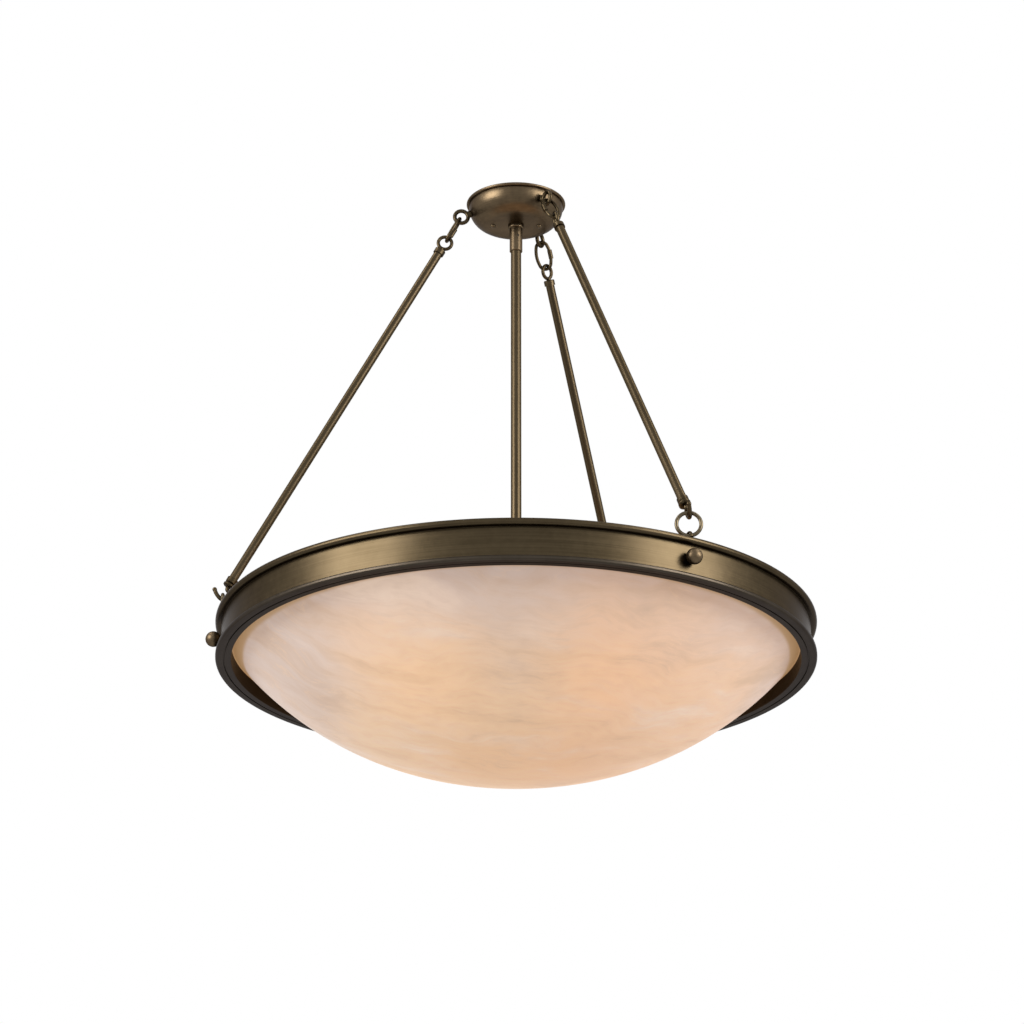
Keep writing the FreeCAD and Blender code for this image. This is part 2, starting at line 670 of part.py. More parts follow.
def make_hook(index, name):
    """The open hook at the rod's foot: a bend off the axis, a round cradle, then a raised tip."""
    arc, bend, wire = dim.hook_arc, dim.hook_bend, dim.hook_wire
    centres = arc + bend
    leave_across = -(bend / centres * arc)
    leave_up = -(bend_height / centres * arc)
    rise = 0.42
    rise_out, rise_down = arc * rise, arc * math.sqrt(1 - rise ** 2)
    tip_out, tip_up = dim.hook_tip_reach, as_size(0.0)
    flare_arc = hypotenuse(tip_out - rise_out, rise_down - tip_up) * 2.2
    top = knuckle_high
    path = {"closed": False, "corners": [
        (0, -top), (0, -bend_height, bend), (leave_across, leave_up, -arc),
        (-arc, 0, -arc), (0, arc, -arc), (rise_out, rise_down, -flare_arc),
        (tip_out, 0),
    ]}
    crook = swept(f"hook_crook_{name}", "XZ_Plane", path, wire, (0, 0, -top))
    tip = doc.addObject("Part::Sphere", f"hook_tip_{name}")
    tip.setExpression("Radius", (wire * 1.15).text)
    tip.Placement = at(tip_out.value, 0, 0)
    bore = dim.rod_radius - dim.rod_wall - dim.fit_gap
    ease = dim.knuckle_length / 4
    neck = dim.ferrule_radius - ease
    ferrule = turned(f"hook_ferrule_{name}", [
        (0, -(ferrule_high + dim.spigot_length)), (bore, -(ferrule_high + dim.spigot_length)),
        (bore, -ferrule_high), (dim.ferrule_radius, -ferrule_high),
        (dim.ferrule_radius, -(knuckle_high + ease)), (neck, -knuckle_high),
        (dim.knuckle_radius, -(knuckle_high - ease)), (dim.knuckle_radius, -(knuckle_low + ease)),
        (neck, -knuckle_low), (0, -knuckle_low),
    ])
    keep(joined(f"hook_{name}", [crook, tip, ferrule]), f"rod_hook_{name}",
         leg_frame(index, hook_place.value, twist_of("rod", index)))


def make_hang_ring(index, name):
    turn = leg_turn(index) + twist_of("ring", index)
    height = ring_catch_height.value + dim.ring_major.value - dim.frame_drop.value
    spot = leaning(leg_turn(index), UPRIGHT, catch_radius.value, -height).Base
    face = leaning(turn, OUTWARD, 0, 0).Rotation
    ring = wire_ring(f"ring_{name}", dim.ring_major, dim.ring_wire, FreeCAD.Placement(spot, face))
    keep(ring, f"hang_ring_{name}")


# ---- frame --------------------------------------------------------------------------------------

def make_band():
    inner = band_radius - dim.band_wall
    foot = dim.trim_thick - dim.frame_drop
    top = dim.frame_height - dim.frame_drop
    bead_low = top - dim.bead_arc * 2
    bead_middle = dim.frame_radius - dim.bead_arc
    band = turned("band_section", [
        (inner, foot), (band_radius, foot), (band_radius, bead_low),
        (bead_middle, bead_low, dim.bead_arc), (dim.frame_radius, top - dim.bead_arc, dim.bead_arc),
        (bead_middle, top), (inner, top),
    ])
    holes = []
    for index, name in enumerate(LEG_NAMES):
        radial = leaning(leg_turn(index), OUTWARD, inner.value * 0.98,
                         dim.frame_drop.value - dim.stud_height.value)
        holes.append(cylinder(f"stud_hole_{name}", dim.stud_radius + dim.fit_gap, dim.ball_radius * 3,
                              radial))
    keep(drilled("band_cut", band, holes), "frame_band")


def make_trim():
    low = -dim.frame_drop
    edge = dim.trim_round
    opening, thick = opening_radius, dim.trim_thick
    groove = trim_radius - dim.groove_inset
    half_groove = dim.groove_width / 2
    wall = opening + dim.upstand_wall
    seat_out = opening + dim.seat_width
    seat_low = dim.seat_height - dim.seat_thick
    keep(turned("trim_section", [
        (opening, low), (groove - half_groove, low),
        (groove - half_groove, low + dim.groove_depth),
        (groove + half_groove, low + dim.groove_depth),
        (groove + half_groove, low), (trim_radius - edge, low, edge),
        (trim_radius, low + edge), (trim_radius, low + thick - edge, edge),
        (trim_radius - edge, low + thick), (wall, low + thick), (wall, low + seat_low),
        (seat_out, low + seat_low), (seat_out, low + dim.seat_height), (opening, low + dim.seat_height),
    ]), "bottom_trim")
    inset = (dim.seat_width - dim.gasket_width) / 2
    gasket_low = low + dim.seat_height
    gasket_high = gasket_low + dim.gasket_thick
    keep(turned("gasket_section", [
        (opening + inset, gasket_low), (seat_out - inset, gasket_low),
        (seat_out - inset, gasket_high), (opening + inset, gasket_high),
    ]), "bowl_gasket")


def make_catch(index, name):
    """A wire bent over the hang ring's foot, with a tapped pad for the ball nut's stud."""
    arc, wire = dim.catch_arc, dim.catch_wire
    crown = dim.ring_wire + dim.seat_gap - (arc - wire)
    stud_drop = ring_catch_height - dim.stud_height
    foot = stud_drop + dim.pad_radius / 2
    outer_foot = ring_catch_height - dim.frame_height - wire / 4
    path = {"closed": False, "corners": [
        (-arc, -foot), (-arc, crown, -arc), (0, crown + arc, -arc), (arc, crown), (arc, -outer_foot),
    ]}
    crook = swept(f"catch_crook_{name}", "XZ_Plane", path, wire, (-arc, 0, -foot))
    reach = band_radius - dim.band_wall - dim.seat_gap - dim.pad_thick
    across = (reach - catch_radius).value
    outward = FreeCAD.Rotation(FreeCAD.Vector(0, 1, 0), 90)
    pad = cylinder(f"catch_pad_{name}", dim.pad_radius, dim.pad_thick,
                   at(across, 0, -stud_drop.value, outward))
    tapped = cylinder(f"catch_tap_{name}", dim.stud_radius + dim.fit_gap, dim.pad_thick * 3,
                      at(across - dim.pad_thick.value, 0, -stud_drop.value, outward))
    whole = joined(f"catch_{name}", [crook, pad])
    turn = FreeCAD.Rotation(FreeCAD.Vector(0, 0, 1), leg_turn(index))
    middle = FreeCAD.Vector(catch_radius.value, 0, 0)
    height = ring_catch_height.value - dim.frame_drop.value
    place = FreeCAD.Placement(turn.multVec(middle) + FreeCAD.Vector(0, 0, height), turn)
    keep(drilled(f"catch_cut_{name}", whole, [tapped]), f"frame_hook_{name}", place)


def make_ball_nut(index, name):
    ball = dim.ball_radius
    stand = dim.ball_stand_off
    neck = ball / 2
    middle = stand + other_side(ball, neck)
    inner_end = -(dim.band_wall + dim.seat_gap + dim.pad_thick)
    radial = leaning(leg_turn(index), OUTWARD, band_radius.value,
                     dim.frame_drop.value - dim.stud_height.value)
    keep(turned(f"ball_{name}", [
        (0, inner_end), (dim.stud_radius, inner_end), (dim.stud_radius, dim.fit_gap),
        (neck, dim.fit_gap), (neck, stand, ball), (ball, middle, ball), (0, middle + ball),
    ]), f"ball_nut_{name}", radial)


# ---- bowl ---------------------------------------------------------------------------------------

def make_bowl():
    """A floor arc and a tighter side arc, tangent at the shoulder, with the rim turned out to a lip."""
    floor, wall, shoulder = dim.bowl_floor_arc, dim.bowl_wall, dim.bowl_shoulder
    rim_low = dim.seat_height + dim.gasket_thick + dim.rest_gap - dim.frame_drop
    rim_out = opening_radius - dim.bowl_neck_gap
    lip_out = opening_radius + dim.seat_width - dim.bowl_lip_inset
    bottom = rim_low - dim.bowl_depth
    sine = shoulder / floor
    cosine = root(1 - sine * sine)
    rise = floor - floor * cosine
    across = rim_out - shoulder
    upward = dim.bowl_depth - rise
    side = (across * across + upward * upward) / ((upward * cosine - across * sine) * 2)
    side_centre_out = shoulder - side * sine
    side_centre_up = bottom + rise + side * cosine
    top = rim_low + dim.bowl_lip_height
    inner = side - wall
    rim_inner = side_centre_out + other_side(inner, side_centre_up - top)
    ease = wall / 5
    keep(turned("bowl_section", [
        (0, bottom, floor), (shoulder, bottom + rise, side), (rim_out, rim_low),
        (lip_out, rim_low), (lip_out, top - ease, ease),
        (lip_out - ease, top), (rim_inner, top, -inner),
        (shoulder - wall * sine, bottom + rise + wall * cosine, -(floor - wall)), (0, bottom + wall),
    ]), "bowl")


def make_everything():
    make_canopy()
    make_crossbar()
    make_canopy_screws()
    make_nipple()
    make_collar()
    make_stem()
    make_cluster()
    for number in range(1, LAMP_COUNT + 1):
        make_lamp(number)
    for index, name in enumerate(LEG_NAMES):
        make_canopy_loop(index, name)
        make_link(index, name)
        make_eye(index, name)
        make_rod(index, name)
        make_hook(index, name)
        make_hang_ring(index, name)
        make_catch(index, name)
        make_ball_nut(index, name)
    make_band()
    make_trim()
    make_bowl()


def check_document():
    """Stops at the first failed object or unsound solid."""
    for thing in doc.Objects:
        if "Invalid" in thing.State or "Error" in thing.State:
            raise RuntimeError(f"{thing.Label} failed: {thing.State}")
    for piece in pieces:
        if piece.Shape.isNull() or not piece.Shape.isValid() or not piece.Shape.Solids:
            raise RuntimeError(f"{piece.Label} has no sound solid")


make_everything()
doc.recompute()
check_document()
os.makedirs("parts", exist_ok=True)
for piece in pieces:
    piece.Shape.exportStep(f"parts/{piece.Label}.step")
print(f"{len(pieces)} pieces, leg length {leg_length.value:.1f} mm, lean {leg_lean:.2f} degrees")
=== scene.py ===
import json
import math
import bpy
import bmesh
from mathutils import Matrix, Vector


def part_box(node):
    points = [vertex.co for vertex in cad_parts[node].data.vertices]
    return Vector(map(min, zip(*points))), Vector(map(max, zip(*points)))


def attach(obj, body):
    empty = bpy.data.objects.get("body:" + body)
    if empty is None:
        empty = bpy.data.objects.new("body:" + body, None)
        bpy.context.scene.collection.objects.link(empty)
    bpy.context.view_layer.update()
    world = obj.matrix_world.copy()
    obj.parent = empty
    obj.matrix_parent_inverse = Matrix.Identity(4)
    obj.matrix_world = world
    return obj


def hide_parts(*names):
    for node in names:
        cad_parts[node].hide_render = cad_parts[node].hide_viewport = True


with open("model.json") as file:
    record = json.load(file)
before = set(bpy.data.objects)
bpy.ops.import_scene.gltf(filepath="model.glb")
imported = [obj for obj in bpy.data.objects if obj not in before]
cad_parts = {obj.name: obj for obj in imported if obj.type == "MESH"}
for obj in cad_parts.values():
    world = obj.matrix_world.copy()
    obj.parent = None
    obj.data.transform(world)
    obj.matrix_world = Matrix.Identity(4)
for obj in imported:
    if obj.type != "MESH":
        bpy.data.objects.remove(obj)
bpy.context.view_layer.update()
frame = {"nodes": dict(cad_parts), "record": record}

nodes = frame["nodes"]
slotOf = {part["node"]: part["material_slot"] for part in frame["record"]["subparts"]}
mm = 0.001  # in metres, the frame's unit


class Wire:  # one socket of a net; sums on it add Math nodes
    def __init__(self, net, socket):
        self.net = net
        self.socket = socket

    def math(self, operation, *others):
        return self.net.make("ShaderNodeMath", {"operation": operation}, [self, *others])

    def __add__(self, other):
        return self.math("ADD", other)

    def __radd__(self, other):
        return self.math("ADD", other)

    def __sub__(self, other):
        return self.math("SUBTRACT", other)

    def __rsub__(self, other):
        return self.net.make("ShaderNodeMath", {"operation": "SUBTRACT"}, [other, self])

    def __mul__(self, other):
        return self.math("MULTIPLY", other)

    def __rmul__(self, other):
        return self.math("MULTIPLY", other)

    def swing(self, share):  # a noise's rise and fall about its middle
        return (self - 0.5) * share

    def distance(self, other):
        return (self * self + other * other).math("SQRT")

    def ramp(self, low, high):
        return self.net.make("ShaderNodeMapRange", {"interpolation_type": "SMOOTHSTEP"}, [self, low, high])


class Net:  # the nodes of a material or of the world
    def __init__(self, owner):
        owner.use_nodes = True
        self.owner = owner
        self.tree = owner.node_tree

    def add(self, kind, settings=None, inputs=()):
        node = self.tree.nodes.new(kind)
        for key, value in (settings or {}).items():
            setattr(node, key, value)
        for key, value in inputs.items() if isinstance(inputs, dict) else enumerate(inputs):
            self.feed(node.inputs[key], value)
        return node

    def make(self, kind, settings=None, inputs=(), output=0):
        return Wire(self, self.add(kind, settings, inputs).outputs[output])

    def feed(self, socket, value):
        if isinstance(value, Wire):
            self.tree.links.new(value.socket, socket)
        elif socket.type == "RGBA" and len(value) == 3:
            socket.default_value = (*value, 1.0)
        else:
            socket.default_value = value

    def surface(self, **inputs):
        sockets = self.tree.nodes["Principled BSDF"].inputs
        for key, value in inputs.items():
            self.feed(sockets[key.replace("_", " ")], value)
        return self.owner

    def place(self):
        return self.make("ShaderNodeTexCoord", output="Object")

    def split(self, vector):
        return [Wire(self, part) for part in self.add("ShaderNodeSeparateXYZ", None, [vector]).outputs]

    def join(self, x, y, z):
        return self.make("ShaderNodeCombineXYZ", None, [x, y, z])

    def noise(self, vector, scale, detail=3.0, rough=0.5, twist=0.0):
        return self.make("ShaderNodeTexNoise", None, {"Vector": vector, "Scale": scale, "Detail": detail,
                                                      "Roughness": rough, "Distortion": twist})

    def blend(self, amount, first, second, mode="MIX"):
        return self.make("ShaderNodeMix", {"data_type": "RGBA", "blend_type": mode},
                         {0: amount, 6: first, 7: second}, 2)

    def bump(self, height, distance, strength):
        return self.make("ShaderNodeBump", None,
                         {"Height": height, "Distance": distance, "Strength": strength})

    def seen(self):  # 1 for what the camera sees, straight or by way of a mirror or glass
        rays = self.add("ShaderNodeLightPath").outputs
        straight, mirrored, through = [Wire(self, rays[f"Is {kind} Ray"])
                                       for kind in ("Camera", "Glossy", "Transmission")]
        return straight.math("MAXIMUM", mirrored).math("MAXIMUM", through)


def newNet(name):
    return Net(bpy.data.materials.new(name))


bronze = {"dark": (0.027, 0.0195, 0.0102), "light": (0.085, 0.0640, 0.0375), "edge": (0.51, 0.505, 0.52),
          "bump": 0.25}
# A lighter copy of the bronze for the canopy, collar and ball: the extra lightness is painted light for the
# brighter light these parts catch.
paintedLightBronze = bronze | {"dark": (0.052, 0.0375, 0.0225), "light": (0.155, 0.113, 0.068)}
trimBronze = bronze | {"dark": (0.0245, 0.0195, 0.0145), "light": (0.074, 0.061, 0.047)}
# A paler, lighter copy of the bronze for the hang rings: the paler tone is their own, and the extra
# lightness is painted light for their bright highlights.
paintedLightPaleBronze = bronze | {"dark": (0.050, 0.040, 0.025), "light": (0.150, 0.122, 0.080)}
pipeBronze = bronze | {"dark": (0.030, 0.0215, 0.0115), "light": (0.092, 0.069, 0.041),
                       "edge": (0.60, 0.56, 0.50), "bump": 0.05}
# Brush marks: how many to a metre (turn: to a radian) and how deep in mm.
brush = {"rings": 1100.0, "turn": 1.6, "across": 260.0, "length": 5.0, "stretch": 0.12, "open": 420.0,
         "detail": {"round": 4.0, "down": 1.0, "any": 4.0}, "harsh": 0.6, "deep": 0.02, "toneShare": 4.0,
         "roughShare": 1.4, "tone": (0.15, 0.85)}
# Noises, here and below: scale, detail, roughness and, where it twists, distortion.
wear = {"cloud": (26.0, 4.0, 0.55), "patina": (150.0, 4.0, 0.65), "patinaTone": 0.6, "patinaRough": 0.10}


def brushed(name, look, brushing, rough, streak, mottle, along=None):
    net = newNet(name)
    place = net.place()
    x, y, z = net.split(place)
    if along is not None:  # a leaning rod, measured across and along itself
        side = Vector((0, 0, 1)).cross(along).normalized()
        x, y, z = [net.make("ShaderNodeVectorMath", {"operation": "DOT_PRODUCT"}, [place, way], 1)
                   for way in (side, along.cross(side), along)]
    if brushing == "round":
        lines = net.join(y.math("ARCTAN2", x) * brush["turn"], x.distance(y) * brush["rings"],
                         z * brush["rings"])
    elif brushing == "down":
        lines = net.join(x * brush["across"], y * brush["across"], z * brush["length"])
        place = net.join(x, y, z * brush["stretch"])
    else:
        lines = net.join(x * brush["open"], y * brush["open"], z * brush["open"])
    fine = net.noise(lines, 1.0, brush["detail"][brushing], brush["harsh"])
    cloud = net.noise(place, *wear["cloud"])
    patina = net.noise(place, *wear["patina"])
    tone = cloud.swing(mottle) + fine.swing(streak * brush["toneShare"])
    tone = tone + patina.swing(mottle * wear["patinaTone"]) + 0.5
    uneven = fine.swing(streak * brush["roughShare"]) + patina.swing(wear["patinaRough"])
    return net.surface(Base_Color=net.blend(tone.ramp(*brush["tone"]), look["dark"], look["light"]),
                       Metallic=1.0, Roughness=uneven + rough, Specular_Tint=look["edge"],
                       Normal=net.bump(fine, brush["deep"] * mm, look["bump"]))


plain = {"cloud": 60.0, "shade": 0.8, "uneven": 0.2}


def plainMetal(name, color, rough):
    net = newNet(name)
    cloud = net.noise(net.place(), plain["cloud"])
    return net.surface(Base_Color=net.blend(cloud, color, [part * plain["shade"] for part in color]),
                       Metallic=1.0, Roughness=cloud.swing(plain["uneven"]) + rough)


glaze = {"pale": (0.70, 0.68, 0.63), "shade": (0.62, 0.60, 0.55), "cloud": 50.0, "rough": 0.2, "uneven": 0.1,
         "coat": 0.4}


def ceramic(name):
    net = newNet(name)
    cloud = net.noise(net.place(), glaze["cloud"])
    return net.surface(Base_Color=net.blend(cloud, glaze["pale"], glaze["shade"]),
                       Roughness=cloud.swing(glaze["uneven"]) + glaze["rough"], Coat_Weight=glaze["coat"])


wool = {"pale": (0.80, 0.76, 0.68), "shade": (0.62, 0.58, 0.50), "fibre": (2200.0, 3.0, 0.7), "rough": 0.95,
        "deep": 0.2, "bump": 0.6}


def felt(name):
    net = newNet(name)
    fibre = net.noise(net.place(), *wool["fibre"])
    return net.surface(Base_Color=net.blend(fibre, wool["pale"], wool["shade"]), Roughness=wool["rough"],
                       Normal=net.bump(fibre, wool["deep"] * mm, wool["bump"]))


bulb = {"glass": (0.46, 0.44, 0.40), "amber": (1.0, 0.84, 0.62), "pale": (1.0, 0.88, 0.70), "glow": 0.85,
        "cloud": (30.0, 2.0), "rough": 0.45, "uneven": 0.1}


def lampGlass(name):
    net = newNet(name)
    cloud = net.noise(net.place(), *bulb["cloud"])
    return net.surface(Base_Color=bulb["glass"], Roughness=cloud.swing(bulb["uneven"]) + bulb["rough"],
                       Emission_Color=net.blend(cloud, bulb["amber"], bulb["pale"]),
                       Emission_Strength=bulb["glow"])


# The bowl's sizes are mm, and so are its lines but the base, which is metres.
bowl = {"floorArc": 520.0, "shoulder": 150.0, "wall": 10.0, "lipTall": 10.0, "lipReach": 5.1, "lipEase": 2.0}


def bowlLines():  # a floor arc out to the shoulder, a side arc up to the neck, and the lip
    low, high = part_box("bowl")
    lip, top = high.x / mm, (high.z - low.z) / mm
    rim, neck = top - bowl["lipTall"], lip - bowl["lipReach"]
    sine = bowl["shoulder"] / bowl["floorArc"]
    cosine = math.sqrt(1 - sine ** 2)
    rise = bowl["floorArc"] * (1 - cosine)
    across, upward = neck - bowl["shoulder"], rim - rise
    side = (across ** 2 + upward ** 2) / ((upward * cosine - across * sine) * 2)
    return {"base": low.z, "lip": lip, "top": top, "rim": rim, "neck": neck, "sine": sine, "cosine": cosine,
            "rise": rise, "side": side, "sideOut": bowl["shoulder"] - side * sine,
            "sideUp": rise + side * cosine}


# The stone's edge colour is painted shade: the stone near its rim is darker and warmer where the frame
# shades it.
stone = {"pale": (0.49, 0.43, 0.395), "warm": (0.53, 0.42, 0.33), "cool": (0.42, 0.385, 0.37),
         "edge": (0.46, 0.35, 0.25), "rough": 0.46, "uneven": 0.15, "sheen": 0.25, "grainDeep": 0.3,
         "grainBump": 0.12, "warmTone": (0.2, 0.8), "coolCloud": (0.45, 0.7), "coolShare": 0.5}
# The stone's layers: veins, wisps and fibres have marks to a metre along and through a layer first.
layers = {"lean": (0.16, -0.50, 0.86), "drift": (3.6, 3.0, 0.5), "sway": (9.0, 3.0, 0.5), "driftShare": 0.15,
          "swayShare": 0.045, "twist": 0.5, "veins": (3.4, 17.0, 6.0, 0.58),
          "wisps": (12.0, 58.0, 5.0, 0.60), "fibres": (34.0, 170.0, 4.0, 0.60),
          "cloud": (5.5, 4.0, 0.52, 0.3), "grain": (70.0, 4.0, 0.6), "veinTone": 1.2, "wispTone": 0.62,
          "cloudTone": 0.7, "threadWide": 0.020, "threadCloud": (0.46, 0.62)}
# The light in the stone: reaches and places are metres from the bowl's middle, skin and seam are mm.
glow = {"calm": (0.478, 0.300, 0.165), "grey": (0.330, 0.240, 0.200), "bright": (0.580, 0.325, 0.145),
        "deep": (0.455, 0.240, 0.095), "rim": (0.250, 0.140, 0.060), "thread": (0.55, 0.34, 0.16),
        "dusk": (0.24, 0.13, 0.065), "milk": (0.500, 0.362, 0.262), "inside": (0.40, 0.26, 0.145),
        "amber": (1.0, 0.88, 0.80), "strength": 1.07, "bulbAside": 0.118, "bulbAhead": 0.195,
        "bulbSway": 0.06, "bulbReach": (0.150, 0.010), "middleCloud": 0.16, "middleLean": 0.08,
        "middleReach": (0.345, 0.190), "deepReach": (0.180, 0.040), "amberAside": (-0.03, 0.12),
        "duskTone": (0.50, 0.95), "milkTone": (0.48, 0.10), "rimShadeReach": (0.3435, 0.3475), "rimShadeCloud": 0.006,
        "skin": (3.0, 7.0), "seam": 2.0}
# How strongly each of these is laid over the ones before it.
shares = {"bright": 0.75, "amber": 0.85, "dusk": 0.72, "milk": 0.75, "thread": 0.22, "fibres": 0.85,
          "grain": 0.35, "fibreBase": 0.07, "inside": 0.6}


def litFace(reach, z):  # 1 on the bowl's inner face, 0 on its outer face
    lines = bowlLines()
    near, far = glow["skin"]
    floorAway = reach.distance(z - (lines["base"] + bowl["floorArc"] * mm))
    sideAway = (reach - lines["sideOut"] * mm).distance(z - (lines["base"] + lines["sideUp"] * mm))
    beyond = reach.ramp((bowl["shoulder"] - glow["seam"]) * mm, (bowl["shoulder"] + glow["seam"]) * mm)
    onFloor = floorAway.ramp((bowl["floorArc"] - near) * mm, (bowl["floorArc"] - far) * mm)
    onSide = sideAway.ramp((lines["side"] - near) * mm, (lines["side"] - far) * mm)
    return onFloor * (1 - beyond) + onSide * beyond


def alabaster(name):
    net = newNet(name)
    place = net.place()
    x, y, z = net.split(place)
    leanSide, leanFront, leanUp = layers["lean"]
    drift = net.noise(place, *layers["drift"])
    sway = net.noise(place, *layers["sway"])
    layer = x * leanSide + y * leanFront + z * leanUp
    layer = layer + drift.swing(layers["driftShare"]) + sway.swing(layers["swayShare"])
    across = y * leanUp - z * leanFront
    veins, wisps, fibres = [
        net.noise(net.join(x * wide, across * wide, layer * thin), 1.0, detail, rough, layers["twist"])
        for wide, thin, detail, rough in (layers["veins"], layers["wisps"], layers["fibres"])]
    cloud = net.noise(place, *layers["cloud"])
    grain = net.noise(place, *layers["grain"])
    hairline = (wisps - 0.5).math("ABSOLUTE").ramp(layers["threadWide"], 0.0)
    thread = hairline * cloud.ramp(*layers["threadCloud"])
    tone = veins.swing(layers["veinTone"]) + wisps.swing(layers["wispTone"])
    tone = tone + cloud.swing(layers["cloudTone"]) + 0.5

    reach = x.distance(y)  # from here on, the light that comes through the stone
    wide = x.math("ABSOLUTE") - glow["bulbAside"]
    ahead = y.math("ABSOLUTE") - glow["bulbAhead"]
    spot = wide.distance(ahead) + sway.swing(glow["bulbSway"])
    middle = reach + cloud.swing(glow["middleCloud"]) - x * glow["middleLean"]
    light = net.blend(middle.ramp(*glow["middleReach"]), glow["grey"], glow["calm"])
    light = net.blend(reach.ramp(*glow["deepReach"]), light, glow["deep"])
    light = net.blend(spot.ramp(*glow["bulbReach"]) * shares["bright"], light, glow["bright"])
    light = net.blend(x.ramp(*glow["amberAside"]) * shares["amber"], light, glow["amber"], "MULTIPLY")
    light = net.blend(tone.ramp(*glow["duskTone"]) * shares["dusk"], light, glow["dusk"])
    light = net.blend(tone.ramp(*glow["milkTone"]) * shares["milk"], light, glow["milk"])
    light = net.blend(thread * shares["thread"], light, glow["thread"])
    light = net.blend(fibres.swing(shares["fibres"]) + grain.swing(shares["grain"]) + shares["fibreBase"],
                      light, glow["dusk"])
    # Painted shade: the light in the stone darkens in a ring near its rim, where the frame shades it.
    light = net.blend((reach + cloud.swing(glow["rimShadeCloud"])).ramp(*glow["rimShadeReach"]), light, glow["rim"])
    light = net.blend(litFace(reach, z) * shares["inside"], light, glow["inside"])

    body = net.blend(tone.ramp(*stone["warmTone"]), stone["pale"], stone["warm"])  # the stone itself
    body = net.blend(cloud.ramp(*stone["coolCloud"]) * stone["coolShare"], body, stone["cool"])
    # Painted shade: the stone's own colour darkens near its rim, where the frame shades it.
    body = net.blend(reach.ramp(*glow["rimShadeReach"]), body, stone["edge"])
    return net.surface(Base_Color=body, Roughness=wisps.swing(stone["uneven"]) + stone["rough"],
                       Specular_IOR_Level=stone["sheen"], Emission_Color=light,
                       Emission_Strength=glow["strength"],
                       Normal=net.bump(grain, stone["grainDeep"] * mm, stone["grainBump"]))


looks = {
    "canopy_finish": brushed("agedCanopy", paintedLightBronze, "round", rough=0.34, streak=0.08, mottle=0.45),
    "collar_finish": brushed("agedCollar", paintedLightBronze, "down", rough=0.32, streak=0.05, mottle=0.35),
    "stem_finish": brushed("agedStem", pipeBronze, "down", rough=0.35, streak=0.04, mottle=0.3),
    "chain_finish": brushed("agedChain", bronze, "any", rough=0.32, streak=0.09, mottle=0.7),
    "ball_finish": brushed("agedBall", paintedLightBronze, "any", rough=0.42, streak=0.06, mottle=0.4),
    "band_finish": brushed("agedBand", bronze, "round", rough=0.33, streak=0.11, mottle=0.25),
    "trim_finish": brushed("agedTrim", trimBronze, "round", rough=0.34, streak=0.10, mottle=0.25),
    "cluster_finish": brushed("agedCluster", bronze, "round", rough=0.34, streak=0.10, mottle=0.4),
    "screw_metal": plainMetal("screwMetal", color=(0.12, 0.088, 0.052), rough=0.40),
    "crossbar_zinc": plainMetal("crossbarZinc", color=(0.60, 0.59, 0.55), rough=0.38),
    "nipple_zinc": plainMetal("nippleZinc", color=(0.62, 0.56, 0.38), rough=0.36),
    "holder_ceramic": ceramic("holderCeramic"),
    "bulb_glass": lampGlass("bulbGlass"),
    "gasket_felt": felt("gasketFelt"),
    "alabaster": alabaster("alabasterStone"),
}


def lineOf(rod):  # from the middle of its lower half to the middle of its upper half
    spots = sorted((corner.co for corner in rod.data.vertices), key=lambda spot: spot.z)
    half = len(spots) // 2
    return (sum(spots[-half:], Vector()) - sum(spots[:half], Vector())).normalized()


ownLooks = {"collar_set_screw": plainMetal("setScrewSteel", color=(0.045, 0.038, 0.030), rough=0.45)}
ringFinish = brushed("agedRing", paintedLightPaleBronze, "any", rough=0.30, streak=0.06, mottle=0.4)
for side in ("left", "rear", "front"):
    ownLooks[f"hang_ring_{side}"] = ringFinish
    ownLooks[f"rod_{side}"] = brushed(f"agedRod{side.title()}", pipeBronze, "down", rough=0.35, streak=0.04,
                                      mottle=0.35, along=lineOf(nodes[f"rod_{side}"]))
for name, thing in nodes.items():
    thing.data.materials.clear()
    thing.data.materials.append(ownLooks.get(name) or looks[slotOf[name]])
print("stage: materials")


def show(name, data):
    thing = bpy.data.objects.new(name, data)
    bpy.context.scene.collection.objects.link(thing)
    return thing


# The band, the trim and the bowl are each a half section, in mm, turned about the stem's line.
turning = {"turns": 288, "arcSteps": 7, "arcStep": 5.0, "sharp": 32, "ease": 0.3, "easeSteps": 2}


def arcBetween(start, end, radius):
    (startOut, startUp), (endOut, endUp) = start, end
    half = math.hypot(endOut - startOut, endUp - startUp) / 2
    hand = math.copysign(1, radius)  # a positive radius turns counterclockwise
    away = hand * math.sqrt(max(radius ** 2 - half ** 2, 0)) / (2 * half)
    centreOut = (startOut + endOut) / 2 - (endUp - startUp) * away
    centreUp = (startUp + endUp) / 2 + (endOut - startOut) * away
    first = math.atan2(startUp - centreUp, startOut - centreOut)
    swing = 2 * math.asin(min(half / abs(radius), 1)) * hand
    steps = max(turning["arcSteps"], math.ceil(abs(swing * radius) / turning["arcStep"]))
    return [(centreOut + abs(radius) * math.cos(first + swing * step / steps),
             centreUp + abs(radius) * math.sin(first + swing * step / steps)) for step in range(1, steps)]


def turnedMesh(name, section, base):
    shape = bmesh.new()
    count = turning["turns"]
    rings = []
    for out, up in section:
        around = [math.tau * step / count for step in range(count if out > 0 else 1)]
        rings.append([shape.verts.new((out * mm * math.cos(turn), out * mm * math.sin(turn), base + up * mm))
                      for turn in around])
    for ring, following in zip(rings, rings[1:] + rings[:1]):
        if len(ring) == len(following) == 1:
            continue
        for step in range(count):
            after = (step + 1) % count
            face = [ring[step % len(ring)], ring[after % len(ring)],
                    following[after % len(following)], following[step % len(following)]]
            shape.faces.new(list(dict.fromkeys(face)))  # a point on the stem's line stands once
    bmesh.ops.recalc_face_normals(shape, faces=shape.faces)
    mesh = bpy.data.meshes.new(name)
    shape.to_mesh(mesh)
    shape.free()
    mesh.shade_smooth()
    mesh.set_sharp_from_angle(angle=math.radians(turning["sharp"]))
    return mesh


